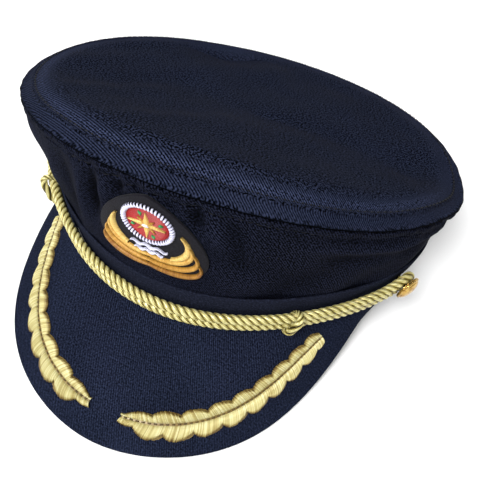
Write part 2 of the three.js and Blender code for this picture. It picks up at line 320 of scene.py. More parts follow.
def add(tree, kind, inputs=(), **settings):
    node = tree.nodes.new(kind)
    for key, value in settings.items():
        setattr(node, key, value)
    for key, value in dict(inputs).items():
        if isinstance(value, bpy.types.NodeSocket):
            tree.links.new(value, node.inputs[key])
        else:
            node.inputs[key].default_value = value
    return node


def linear(red, green, blue):
    """A colour as seen in a picture, 0 to 255, as a shader's linear colour."""
    channel = [((v / 255 + 0.055) / 1.055) ** 2.4 if v > 10 else v / 255 / 12.92 for v in (red, green, blue)]
    return (*channel, 1)


def ramp(tree, factor, stops):
    node = add(tree, "ShaderNodeValToRGB", {"Fac": factor})
    node.color_ramp.elements[0].position = stops[0][0]
    node.color_ramp.elements[0].color = stops[0][1]
    node.color_ramp.elements[1].position = stops[-1][0]
    node.color_ramp.elements[1].color = stops[-1][1]
    for place, colour in stops[1:-1]:
        node.color_ramp.elements.new(place).color = colour
    return node.outputs["Color"]


def math_node(tree, operation, a, b):
    return add(tree, "ShaderNodeMath", {0: a, 1: b}, operation=operation).outputs[0]


# A wave texture of this scale has one band in each unit of length
WAVE_PERIOD = 2 * math.pi / 20


def twill(name, dark, light, angle, period, rib, nap, painted_light_weight, calm=0.0):
    """Cotton twill: slanted ribs of the given period in mm, at an angle in the cloth, under a short nap.

    The shade kept on the points is 1 on open cloth with clear ribs, and its ribs fade where it is less. It
    also paints light and shade: below 1 it darkens the colour as painted shade where the ribs are rubbed flat
    and where a fold hides the light, above 1 it lightens it as painted highlight, each as much as
    painted_light_weight says, and below 0 it is painted shade down in the seams. Calm cloth has less nap
    where its ribs are clear.
    """
    material, tree, shader = new_material(name)
    cloth = add(tree, "ShaderNodeAttribute", attribute_name="cloth").outputs["Vector"]

    def noise(scale):
        inputs = {"Vector": cloth, "Scale": scale, "Detail": 2.0}
        return add(tree, "ShaderNodeTexNoise", inputs).outputs["Fac"]

    def plus(a, b):
        return math_node(tree, "ADD", a, b)

    def times(a, b):
        return math_node(tree, "MULTIPLY", a, b)

    turned = add(tree, "ShaderNodeMapping", {"Vector": cloth, "Rotation": (0, 0, math.radians(angle))})
    wave = add(tree, "ShaderNodeTexWave", {
        "Vector": turned.outputs[0], "Scale": WAVE_PERIOD / period, "Distortion": 0.2,
        "Detail": 1.0, "Detail Scale": 1.4,
    }).outputs["Fac"]
    slub, grain, cloud = noise(0.7), noise(1.15), noise(0.025)
    shown = add(tree, "ShaderNodeAttribute", attribute_name="shade").outputs["Fac"]
    lit = math_node(tree, "MAXIMUM", shown, 0.0)
    deep = math_node(tree, "MINIMUM", shown, 0.0)
    ribs = times(times(plus(wave, -0.5), lit), plus(slub, 0.5))
    out_of_seam = math_node(tree, "MINIMUM", times(lit, 3.0), 1.0)
    rough = times(out_of_seam, plus(times(lit, -calm), 1.0))
    speck = times(times(plus(grain, -0.5), nap), rough)
    drift = times(plus(cloud, -0.5), 0.25)
    tone = plus(plus(plus(times(ribs, rib), 0.5), speck), drift)
    middle = tuple(0.72 * d + 0.28 * b for d, b in zip(dark, light))
    colour = ramp(tree, tone, [(0.15, dark), (0.5, middle), (0.9, light)])
    # Painted light: the shade on the points darkens the colour as painted shade below 1 and lightens it as
    # painted highlight above 1, and deep is painted shade down in the seams
    painted_light_factor = plus(deep, plus(times(lit, painted_light_weight), 1 - painted_light_weight))
    dimmed = add(tree, "ShaderNodeVectorMath", {"Vector": colour, "Scale": painted_light_factor}, operation="SCALE")
    tree.links.new(dimmed.outputs[0], shader.inputs["Base Color"])
    height = plus(ribs, times(grain, 0.5))
    relief = add(tree, "ShaderNodeBump", {"Height": height, "Strength": 0.25, "Distance": 0.00018})
    tree.links.new(relief.outputs[0], shader.inputs["Normal"])
    shader.inputs["Roughness"].default_value = 0.92
    shader.inputs["Specular IOR Level"].default_value = 0.02
    return material


def thread(name, stops, roughness, metal, fibre=0.55, lines=0.16):
    """Shiny thread or yarn: colour by the shade kept on the points, with fine fibres along it."""
    material, tree, shader = new_material(name)
    shade = add(tree, "ShaderNodeAttribute", attribute_name="shade").outputs["Fac"]
    cloth = add(tree, "ShaderNodeAttribute", attribute_name="cloth").outputs["Vector"]
    strands = add(tree, "ShaderNodeTexWave", {
        "Vector": cloth, "Scale": WAVE_PERIOD / fibre, "Distortion": 1.0, "Detail": 1.0, "Detail Scale": 2.0,
    }, bands_direction="Y").outputs["Fac"]
    place = add(tree, "ShaderNodeTexCoord").outputs["Object"]
    drift = add(tree, "ShaderNodeTexNoise", {"Vector": place, "Scale": 160.0, "Detail": 2.0}).outputs["Fac"]
    tone = math_node(tree, "ADD", shade, math_node(tree, "MULTIPLY", drift, 0.35))
    tone = math_node(tree, "ADD", tone, math_node(tree, "MULTIPLY", strands, lines))
    colour = ramp(tree, math_node(tree, "SUBTRACT", tone, 0.25), stops)
    tree.links.new(colour, shader.inputs["Base Color"])
    relief = add(tree, "ShaderNodeBump", {"Height": strands, "Strength": 0.5, "Distance": 0.00012})
    tree.links.new(relief.outputs[0], shader.inputs["Normal"])
    shader.inputs["Roughness"].default_value = roughness
    shader.inputs["Metallic"].default_value = metal
    shader.inputs["Specular IOR Level"].default_value = 0.6
    return material


def felt(name, dark, light):
    material, tree, shader = new_material(name)
    place = add(tree, "ShaderNodeTexCoord").outputs["Object"]
    fluff = add(tree, "ShaderNodeTexNoise", {"Vector": place, "Scale": 1500.0, "Detail": 3.0}).outputs["Fac"]
    colour = ramp(tree, fluff, [(0.3, dark), (0.7, light)])
    tree.links.new(colour, shader.inputs["Base Color"])
    relief = add(tree, "ShaderNodeBump", {"Height": fluff, "Strength": 0.6, "Distance": 0.0003})
    tree.links.new(relief.outputs[0], shader.inputs["Normal"])
    shader.inputs["Roughness"].default_value = 0.95
    shader.inputs["Specular IOR Level"].default_value = 0.15
    shader.inputs["Sheen Weight"].default_value = 0.03
    return material


def gilt(name):
    """Gilt button metal, a little dulled in random patches."""
    material, tree, shader = new_material(name)
    place = add(tree, "ShaderNodeTexCoord").outputs["Object"]
    wear = add(tree, "ShaderNodeTexNoise", {"Vector": place, "Scale": 450.0, "Detail": 4.0}).outputs["Fac"]
    colour = ramp(tree, wear, [(0.3, linear(150, 112, 50)), (0.7, linear(214, 180, 104))])
    tree.links.new(colour, shader.inputs["Base Color"])
    rough = ramp(tree, wear, [(0.3, (0.34, 0.34, 0.34, 1)), (0.7, (0.16, 0.16, 0.16, 1))])
    tree.links.new(rough, shader.inputs["Roughness"])
    shader.inputs["Metallic"].default_value = 1.0
    return material


crown_cloth = twill("crown_twill", linear(1, 2, 6), linear(46, 52, 74),
                    angle=-57, period=1.05, rib=0.5, nap=10.5, painted_light_weight=0.76, calm=0.9)
side_cloth = twill("side_twill", linear(0.5, 1, 3), linear(29, 32, 47),
                   angle=-31, period=1.0, rib=0.6, nap=3.2, painted_light_weight=0.9)
visor_cloth = twill("visor_twill", linear(3, 4, 9), linear(41, 48, 70),
                    angle=-33, period=0.85, rib=0.4, nap=1.3, painted_light_weight=0)
strip_cloth = twill("strip_cotton", linear(12, 14, 22), linear(38, 42, 58),
                    angle=0, period=0.6, rib=0.1, nap=1.6, painted_light_weight=0.8)
# The seam thread is near black, partly its own dark navy and partly painted shade of the stitch grooves
stitch_thread = felt("seam_thread", linear(1, 1, 3), linear(9, 11, 18))
# The cord's shade spans this whole ramp: the near-black end is painted shade in the grooves between the
# plies, the pale end painted highlight on their backs
gold_cord = thread("gold_cord", [
    (0.0, linear(20, 14, 3)), (0.4, linear(124, 108, 42)), (0.75, linear(182, 171, 100)),
    (1.0, linear(222, 215, 158)),
], roughness=0.38, metal=0.3, fibre=0.8, lines=0.4)
gold_thread = thread("gold_thread", [
    (0.0, linear(108, 84, 36)), (0.3, linear(162, 143, 82)), (0.6, linear(198, 188, 126)),
    (1.0, linear(230, 227, 184)),
], roughness=0.42, metal=0.1, fibre=0.3)
rib_thread = thread("rib_thread", [(0.0, linear(46, 32, 10)), (1.0, linear(120, 96, 44))],
                    roughness=0.55, metal=0.0)
badge_gold = thread("badge_gold", [
    (0.0, linear(120, 70, 16)), (0.5, linear(190, 142, 56)), (1.0, linear(228, 202, 122)),
], roughness=0.42, metal=0.15, fibre=0.3)
lilac_thread = thread("lilac_thread", [(0.0, linear(140, 140, 190)), (1.0, linear(236, 236, 250))],
                      roughness=0.5, metal=0.0)
red_thread = thread("red_thread", [(0.0, linear(90, 2, 4)), (1.0, linear(172, 12, 14))],
                    roughness=0.45, metal=0.0)
green_thread = thread("green_thread", [(0.0, linear(12, 90, 46)), (1.0, linear(50, 164, 92))],
                      roughness=0.45, metal=0.0)
patch_felt = felt("badge_felt", linear(4, 4, 8), linear(20, 19, 28))
button_gilt = gilt("button_gilt")


def finish_piece(piece, material, slot, *nodes):
    piece.data.materials.append(material)
    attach(piece, "root")
    if nodes:
        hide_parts(*nodes)
    return piece


# Crown: side panel and top panel

# Columns of points round the crown
AROUND = 800
around = np.linspace(-math.pi, math.pi, AROUND, endpoint=False)

# Soft folds of the side panel: angle, share of the height, half sizes in mm across and up, lean,
# and how far they stand out. First those of the front, then the wearer's left, the sides and the back
FOLDS = [
    (-16.2, 0.72, 3.0, 15, 0.14, -3.2), (-12.2, 0.78, 2.4, 12, 0.14, 1.6), (-7.6, 0.86, 2.4, 9, 0.1, -2.4),
    (-2.5, 0.9, 2.4, 5, 0.1, -1.0), (4, 0.9, 3.0, 4, -0.2, -1.2), (-21, 0.66, 3.4, 20, 0.2, 1.5),
    (-27, 0.6, 4.5, 20, 0.1, -1.8), (-36, 0.55, 5, 22, 0.2, 1.4), (-48, 0.8, 16, 11, 0, 2.3),
    (10.6, 0.86, 2.8, 9, 0, -2.8), (15, 0.8, 3.0, 11, -0.2, 1.3), (20, 0.74, 3.6, 14, -0.2, -1.6),
    (36, 0.45, 12, 22, 0.5, -1.2), (48, 0.89, 24, 2, 0, -1.4), (52, 0.8, 28, 2.4, 0.02, 1.7),
    (54, 0.7, 26, 4, 0, -1.8), (76, 0.81, 20, 2.8, 0.1, 1.6), (80, 0.7, 20, 4, 0.05, -1.8),
    (-62, 0.5, 7, 24, 0.2, -1.6), (-80, 0.55, 8, 24, 0, 1.4), (104, 0.5, 9, 22, -0.2, -1.8),
    (128, 0.5, 8, 20, 0.2, 1.4), (150, 0.45, 7, 18, 0, -1.6), (171, 0.5, 9, 18, 0.2, 1.2),
    (-168, 0.5, 6, 18, -0.2, -1.5), (-146, 0.5, 9, 18, 0, 1.3), (-124, 0.5, 7, 20, 0.2, -1.6),
    (-102, 0.5, 8, 20, -0.1, 1.2),
]


def sewn(off, sewing):
    """How far the cloth stands out at a distance from the crown seam: allowance, stitched groove and tuck."""
    at = sewing["at"]
    allowance = sewing["allowance"] * smooth(off, 0, sewing["rise"]) * (1 - smooth(off, at - 1.4, at))
    groove = -sewing["groove"] * bump(off, at, sewing["groove_wide"])
    return allowance + groove - sewing["tuck"] * bump(off, 0, sewing["tuck_wide"])


def seam_shade(off, sewing, open_cloth=1):
    """The shade of open cloth, with painted shade down in the seam and under the stitches."""
    dark = sewing["dark"] * bump(off, 0, sewing["dark_wide"]) + 0.8 * bump(off, sewing["at"], 0.5)
    return open_cloth * smooth(off, -0.4, 0.8) - dark


def panel_relief(a, share, below):
    """How far the side panel stands out of its plain shape, at a distance below the seam.

    Its folds and puckers end at the foot, and the badge holds the cloth flat.
    """
    turn = (np.degrees(a) + 180) % 360 - 180
    x = np.radians(turn) * ROUND["head"]
    up = share * seam_height(a)
    relief = 0.35 * waves(np.stack([x, up, 0 * x], -1), size=26, seed=3)
    for at, high, wide, tall, lean, deep in FOLDS:
        off = (turn - at + 180) % 360 - 180
        rise = up - high * seam_height(a)
        across = np.radians(off) * ROUND["head"] - lean * rise
        relief = relief + deep * bump(across, 0, wide) * bump(rise, 0, tall)
    pucker = 0.4 * waves(np.stack([x, 0 * x, 0 * x], -1), size=7, seed=5) * np.exp(-below / 8)
    foot = smooth(share, 0, 0.14)
    badge_x = np.radians(turn) * mix(HEAD["wide"], SEAM["wide"], share)
    badge_y = (share - BADGE["share"]) * panel_length(0) - BADGE["waist"]
    tall = np.where(badge_y > 0, BADGE["above"], BADGE["below"])
    badge_off = np.hypot(badge_x / BADGE["half"], badge_y / tall)
    under_badge = np.where(relief < 0, 0.3, 0)
    free = mix(under_badge, 1, smooth(badge_off, 0.86, 1.02))
    return (relief + pucker) * free * foot + sewn(below, SIDE_SEWING)


def inner_rows(count):
    """Every fourth row of an outer face, from its last back to its first, for the cloth's hidden side."""
    return np.append(np.arange(count - 1, 0, -4), 0)


def side_panel():
    plain_rows, seam_rows = np.linspace(0, 0.84, 44), np.linspace(0.845, 1, 40)
    a, share = np.meshgrid(around, np.concatenate([plain_rows, seam_rows]), indexing="ij")
    plain = on_panel(a, share, 0)
    plain[..., 2] -= share * GAP / 2
    length = panel_length(a)
    below = (1 - share) * length
    relief = panel_relief(a, share, below)
    outer = on_panel(a, share, relief)
    outer[..., 2] = plain[..., 2]
    inner = on_panel(a, share, np.minimum(relief, 0) * 0.6 - CLOTH)
    inner[..., 2] = plain[..., 2]
    cloth = np.stack([a * ROUND["middle"], share * length, 0 * a], -1)
    back = inner_rows(outer.shape[1])
    rings = np.concatenate([outer, inner[:, back]], 1)
    # Painted shade in the fold valleys, lighter fold crests as painted highlight with some rub wear, over
    # painted shade in the seam and under the stitches
    valley_shade = np.clip(-relief - 0.3, 0, 2.4) * 0.34
    crest_light_and_wear = np.clip(relief - 0.2, 0, 1.6) * 0.35
    shown = seam_shade(below, SIDE_SEWING) + (crest_light_and_wear - valley_shade) * smooth(below, 7, 10)
    shown = np.concatenate([shown, shown[:, back]], 1)
    return swept("side_panel", rings, True, np.concatenate([cloth, cloth[:, back]], 1), shown)


def dent(a, share):
    """How far the top sinks at the dip in its back rim."""
    off = turn_from(a, TOP["dent_at"])
    return TOP["dent_deep"] * bump(off, 0, math.radians(TOP["dent_wide"])) * share ** 4


def rim(a, turn, inside):
    """Point of the rolled edge, from the seam at turn 0 to the flat of the top at turn 1."""
    angle = turn * math.pi / 2
    up = TOP["roll_up"] + TOP["roll_front"] * np.cos(a) - CORNER["flat"] * corner(a) - inside
    out = -inside - (TOP["roll_in"] - inside) * (1 - np.cos(angle))
    point = seam_line(a) + outward(seam_line, a) * out[..., None]
    point[..., 2] += GAP / 2 + (up - dent(a, turn)) * np.sin(angle)
    return point


def level(a, share, inside):
    """Point of the slack flat of the top, from its middle to the rolled edge."""
    middle = np.array([SEAM["right"], -SEAM["forward"], SEAM["height"] + TOP["roll_up"] - TOP["slack"]])
    edge = rim(a, 1, inside)
    point = mix(middle, edge, share[..., None])
    z = mix(middle[2] - inside, edge[..., 2], share) + TOP["slack"] * share * (share - 1)
    point[..., 2] = z + dent(a, 1) * share - dent(a, share)
    return point


def top_panel():
    """The top with its rolled edge: rubbed smooth in the middle and darkened there as painted shade, its ribs
    clear on the roll, with a painted highlight along its front.
    """
    shares = np.linspace(0.02, 1, 42)[:-1]
    turns = np.linspace(1, 0, 46) ** 1.15
    a = around[None, :]

    def face(inside):
        flat = level(a, shares[:, None] + 0 * a, inside)
        roll = rim(a + 0 * turns[:, None], turns[:, None] + 0 * a, inside)
        return np.concatenate([flat, roll], 0)

    outer = face(0)
    length = arc_lengths(outer)
    above = length[-1] - length
    x, y = outer[..., 0], outer[..., 1]
    place = np.stack([x, y, 0 * x], -1)
    middle = smooth(above, 8, 26)
    relief = 0.55 * waves(place, size=60, seed=11) * middle + 0.22 * waves(place, size=24, seed=12) * middle
    hollow_front = 1.0 * bump(above, 30, 14) * bump(np.degrees(a), -30, 60)
    relief -= hollow_front
    run = np.stack([a * ROUND["middle"] + 0 * x, 0 * x, 0 * x], -1)
    pucker = 0.1 * waves(run, size=8, seed=13) * np.exp(-above / 6)
    puff = 0.7 * smooth(above, 0.5, 4) * (1 - smooth(above, 8, 18))
    outer = push(outer, -(relief + pucker + puff + sewn(above, TOP_SEWING)))
    inner = face(CLOTH)
    ray = np.stack([x - SEAM["right"], y + SEAM["forward"], 0 * x], -1)
    laid = unit(ray) * (length + np.linalg.norm(ray[:1], axis=-1))[..., None]
    back = inner_rows(outer.shape[0])
    rings = np.concatenate([outer, inner[back]], 0)
    # Shade: 0.5 on the flat, where its ribs are rubbed faint and the cloth is darkened as painted shade, 1 on
    # the roll, less as painted shade in the seam and under the stitches
    wear_and_painted_shade = seam_shade(above, TOP_SEWING, mix(0.5, 1, smooth(-above, -19, -11)))
    # A painted highlight along the front of the roll
    crest = 0.42 * bump(above, 10.5, 3.2) * smooth(np.cos(a), -0.35, 0.4)
    shown = np.concatenate([wear_and_painted_shade + crest, (wear_and_painted_shade + crest)[back]], 0)
    return swept("top_panel", rings, False, np.concatenate([laid, laid[back]], 0), shown), outer, above


# Threads: rows of stitches laid on a surface

def threads(name, starts, ends, surface, material, slot, *, low, crest, width, shade, segments, sag=0.7):
    """One padded stitch from each start to its end. Both are (n, 2) places on the surface.

    A stitch rises from the low to the crest, and its shade is given for each stitch along its segments.
    """
    t = np.linspace(0, 1, segments + 1)
    places = mix(starts[:, None, :], ends[:, None, :], t[None, :, None])
    lift = low + (crest - low) * np.sin(math.pi * t)[None, :] ** sag
    lift = np.broadcast_to(lift, places.shape[:2])
    centre = surface(places[..., 0], places[..., 1], lift)
    above = surface(places[..., 0], places[..., 1], lift + 0.2)
    normal = unit(above - centre)
    along = np.gradient(centre, axis=1)
    across = unit(np.cross(along, normal)) * (width / 2)
    deep = normal * (width * 0.38)
    rings = np.stack([centre - across, centre + deep, centre + across, centre - deep], 2)
    count, rows = rings.shape[:2]
    single = ring_faces(rows, 4, False)
    base = (np.arange(count) * rows * 4)[:, None, None]
    faces = [(f[None] + base).reshape(-1, f.shape[1]) for f in single]
    shades = np.broadcast_to(np.asarray(shade)[..., None], rings.shape[:3])
    run = np.linalg.norm(ends - starts, axis=-1)[:, None, None] * t[None, :, None] * np.ones(4)
    side = np.array([0, 0.25, 0.5, 0.75]) * width * 2 + np.zeros_like(run)
    cloth = np.stack([run, side, np.zeros_like(run)], -1)
    piece = mesh_object(name, rings.reshape(-1, 3), faces, cloth, shades)
    return finish_piece(piece, material, slot)


def topstitching(outer, above):
    """Two rows of stitches, one each side of the crown seam."""
    pitch = STITCH["long"] + STITCH["gap"]
    count = int(2 * math.pi * ROUND["seam"] / pitch)
    share = STITCH["long"] / pitch
    begin = np.arange(count) / count * 2 * math.pi - math.pi
    end = begin + share * 2 * math.pi / count
    rng = np.random.default_rng(21)
    tone = rng.uniform(0.2, 0.6, (count, 1)) * np.ones((1, 4))

    def below_seam(a, off, lift):
        share = 1 - off / panel_length(a)
        return on_panel(a, share, panel_relief(a, share, off) + lift)

    row = int(np.argmin(np.abs(above[:, 0] - TOP_SEWING["at"])))
    line = outer[row]
    lifted = push(outer, -np.ones(outer.shape[:2]))[row]

    def above_seam(a, _, lift):
        place = (a + math.pi) / (2 * math.pi) * AROUND % AROUND
        i = np.floor(place).astype(int)
        f = (place - i)[..., None]
        j = (i + 1) % AROUND
        i = i % AROUND
        return mix(line[i], line[j], f) + mix((lifted - line)[i], (lifted - line)[j], f) * lift[..., None]

    for name, surface in (("stitches_below_seam", below_seam), ("stitches_above_seam", above_seam)):
        off = np.full(count, STITCH["off"])
        threads(name, np.stack([begin, off], -1), np.stack([end, off], -1), surface, stitch_thread,
                "navy_twill", low=-0.2, crest=0.3, width=0.8, shade=tone, segments=3)


finish_piece(side_panel(), side_cloth, "navy_twill", "crown_side")
top, top_skin, top_above = top_panel()
finish_piece(top, crown_cloth, "navy_twill", "crown_top")
topstitching(top_skin, top_above)


# Band strip

def band_strip():
    a, share = np.meshgrid(around, np.linspace(0, 1, 18), indexing="ij")
    z = share * strip_height(a)
    inside = np.sin(share * math.pi) ** 0.3
    cloth = np.stack([a * ROUND["head"], z, 0 * z], -1)
    ripple = 0.12 * waves(cloth, size=16, seed=31)
    outer = at_height(a, z, GAP + 0.75 + 0.5 * inside + ripple * inside)
    inner = at_height(a, z, GAP)
    rings = np.concatenate([outer, inner[:, ::-1]], 1)
    cloth = np.concatenate([cloth, cloth[:, ::-1]], 1)
    return swept("headband_strip", rings, True, cloth, np.ones(rings.shape[:2]))


finish_piece(band_strip(), strip_cloth, "band_cloth", "band_strip")


# Visor

def visor():
    half = math.radians(VISOR["half"]) * 0.995
    a = np.linspace(-half, half, 260)
    inner = STRIP["thick"] + 2 * GAP
    reach = np.maximum(visor_reach(a), 1)
    k = np.concatenate([np.linspace(0, 0.94, 46), np.linspace(0.95, 1, 8)])
    aa, kk = np.meshgrid(a, k, indexing="ij")
    far = kk * reach[:, None]
    from_edge = reach[:, None] - far
    ripple = 0.12 * waves(np.stack([aa * ROUND["middle"], far, 0 * far], -1), size=40, seed=41)
    round_off = -VISOR_EDGE["round"] * np.exp(-from_edge / VISOR_EDGE["round_wide"])
    seam = bump(from_edge, VISOR_EDGE["seam_at"], VISOR_EDGE["seam_wide"]) * smooth(reach[:, None], 6, 14)
    seam = -VISOR_EDGE["seam"] * seam
    cover = on_cover(aa, far, ripple * smooth(from_edge, 0, 6) + round_off + seam)
    lining = on_cover(aa, far, -VISOR["thick"] - round_off * 0.6)
    lining[:, 0, 2] = np.minimum(lining[:, 0, 2], -GAP - 0.2)
    flange_top = at_height(a, 1.0, inner + VISOR["flange"])[:, None]
    tuck = at_height(a, -GAP - 0.1, inner)[:, None]
    tuck_top = at_height(a, 1.0, inner)[:, None]
    rings = np.concatenate([flange_top, cover, lining[:, ::-1], tuck, tuck_top], 1)
    laid = head_line(aa) + outward(head_line, aa) * far[..., None]
    pad = laid[:, :1]
    cloth = np.concatenate([pad, laid, laid[:, ::-1], pad, pad], 1)
    return swept("visor_cover", rings, False, cloth, np.ones(rings.shape[:2]))


finish_piece(visor(), visor_cloth, "visor_twill", "visor")


# Cord

def cord_place(along, up, out):
    """Place on the cord's course, which lies closer to the cloth between the right slide and its button."""
    a = along / CORD["bend"]
    t = np.minimum(np.abs(a) / math.radians(BUTTON["at"]), 1)
    high = CORD["high"] + CORD["rise"] * t * t + up
    right = -np.degrees(a)
    hug = HUG["depth"] * smooth(right, *HUG["start"]) * (1 - smooth(right, *HUG["end"]))
    return at_height(a, high, CORD["out"] + out - hug)


def even(path, count):
    """The same closed path with its points at equal distances."""
    closed = np.concatenate([path, path[:1]])
    length = arc_lengths(closed)
    want = np.linspace(0, length[-1], count, endpoint=False)
    return np.stack([np.interp(want, length, closed[:, i]) for i in range(3)], -1), float(length[-1])


def rope(name, path, face, radius, plies, lay, sides=12):
    """A closed twisted rope: plies wound left-handed round a closed path, one turn in each lay."""
    length = float(arc_lengths(np.concatenate([path, path[:1]]))[-1])
    turns = max(round(length / lay), 2)
    n = len(path)
    along = unit(np.roll(path, -1, 0) - np.roll(path, 1, 0))
    side = unit(np.cross(along, face))
    out = np.cross(side, along)
    s = np.arange(n) / n
    pieces = []
    for ply in range(plies):
        angle = -2 * math.pi * (turns * s + ply / plies)
        away = side * np.cos(angle)[:, None] + out * np.sin(angle)[:, None]
        centre = path + away * (radius * PLY["off"])[:, None]
        run = unit(np.roll(centre, -1, 0) - np.roll(centre, 1, 0))
        flank = unit(np.cross(run, away))
        rise = np.cross(flank, run)
        b = 2 * math.pi * np.arange(sides) / sides
        thick = (rise * (radius * PLY["thick"])[:, None])[:, None] * np.cos(b)[:, None]
        wide = (flank * (radius * PLY["wide"])[:, None])[:, None] * np.sin(b)[:, None]
        ring = centre[:, None] + thick + wide
        travel = (s * length)[:, None] + 0 * b[None, :]
        fibre = b[None, :] * 1.3 + travel * 0.5
        cloth = np.stack([travel, fibre, 0 * travel], -1)
        # Painted highlight on the backs of the plies, painted shade in the grooves between them
        tone = -0.25 + 1.1 * np.cos(b)[None, :] + 0 * travel
        pieces.append((ring, cloth, tone))
    rings = np.stack([p[0] for p in pieces])
    faces = ring_faces(n, sides, True)[0]
    base = (np.arange(plies) * n * sides)[:, None, None]
    faces = [(faces[None, :, ::-1] + base).reshape(-1, 4)]
    cloth = np.stack([p[1] for p in pieces])
    tone = np.stack([p[2] for p in pieces])
    return mesh_object(name, rings.reshape(-1, 3), faces, cloth, tone)


def cord_loop():
    end = math.radians(BUTTON["at"]) * CORD["bend"]
    run = np.linspace(-end, end, 400)
    bend = np.linspace(0, math.pi, 40)[1:-1]

    def half(along):
        return mix(CORD["pitch"], CORD["eye"], smooth(np.abs(along), end - CORD["eye_long"], end))

    def eye(side):
        return cord_place(side * (end + CORD["eye"] * np.sin(bend)), side * CORD["eye"] * np.cos(bend), 0)

    path = np.concatenate([
        cord_place(run, half(run), 0), eye(1), cord_place(run[::-1], -half(run), 0), eye(-1),
    ])
    path, length = even(path, 1100)
    face = unit(path * np.array([1, 1, 0]))
    radius = np.full(len(path), CORD["radius"])
    return rope("twisted_chin_cord", path, face, radius, 3, CORD["lay"]), length


cord_piece, cord_length = cord_loop()
finish_piece(cord_piece, gold_cord, "gold_cord", "chin_cord")
print("cord loop length mm", round(cord_length))


def cord_slide(name, at):
    """The wrap round both strands: full strands in front, squeezed flat behind."""
    b = np.linspace(0, 2 * math.pi, 240, endpoint=False) + 0.01
    c, s = np.cos(b), np.sin(b)
    front = (1 + c) / 2
    thick = mix(SLIDE["behind"], SLIDE["thick"], front)
    r = CORD["radius"] + SLIDE["slack"] + thick / 2
    up = r * s + CORD["pitch"] * np.tanh(4 * s)
    lean = SLIDE["slant"] * math.copysign(1, at) * up
    path = cord_place(math.radians(at) * CORD["bend"] + lean, up, r * c)
    hub = cord_place(math.radians(at) * CORD["bend"] + lean * 0.6, up * 0.5, 0 * up)
    face = unit(path - hub)
    return rope(name, path, face, np.maximum(thick / 2, 0.4) * 1.02, 3, SLIDE["lay"])


for slide, at in SLIDES.items():
    finish_piece(cord_slide(slide + "_wrap", at), gold_cord, "gold_cord", slide)


# Buttons

def button(name, side):
    """A domed gilt button with a roped rim, square to the panel."""
    along = math.radians(BUTTON["at"]) * side * CORD["bend"]
    centre = cord_place(along, 0.0, 0.0)
    up = unit(cord_place(along, 2.0, 0.0) - cord_place(along, -2.0, 0.0))
    across = -np.cross([0, 0, 1], outward(head_line, along / CORD["bend"]))
    out = np.cross(up, across)
    back = CORD["radius"] + GAP + 0.1
    wall = STRIP["thick"] + 2 * GAP - CORD["out"]
    b = 2 * math.pi * np.arange(96) / 96
    dome, lip = BUTTON["dome"], BUTTON["lip"]
    foot = back + 0.9
    profile = [(0.3, wall), (BUTTON["shank"], wall), (BUTTON["shank"], back - 0.4), (2.2, back),
               (dome - 0.9, back), (dome - 0.2, back + 0.25)]
    for turn in np.radians(np.linspace(-60, 90, 8)):
        profile.append((dome - lip + lip * math.cos(turn), back + 1.0 + 0.75 * math.sin(turn)))
    for share in np.linspace(0.86, 0.04, 14):
        profile.append((dome * share, foot + (BUTTON["rise"] - 0.9) * math.sqrt(1 - (share / 0.95) ** 2)))
    rings = []
    for radius, high in profile:
        roped = 0.13 * np.sin(BUTTON["reeds"] * b + 3 * high) * bump(radius, dome - 0.2, 0.5)
        r = (radius + roped)[:, None]
        rings.append(centre + out * high + across * r * np.cos(b)[:, None] + up * r * np.sin(b)[:, None])
    return swept(name, np.stack(rings), False)


finish_piece(button("gilt_button_left", 1), button_gilt, "gilt_metal", "button_left")
finish_piece(button("gilt_button_right", -1), button_gilt, "gilt_metal", "button_right")


# Leaf sprigs on the visor

def rib_line(a):
    """Distance of a sprig's rib from the visor's head edge."""
    q = np.abs(a)
    return sum(factor * q ** power for power, factor in enumerate(SPRIG["rib"]))


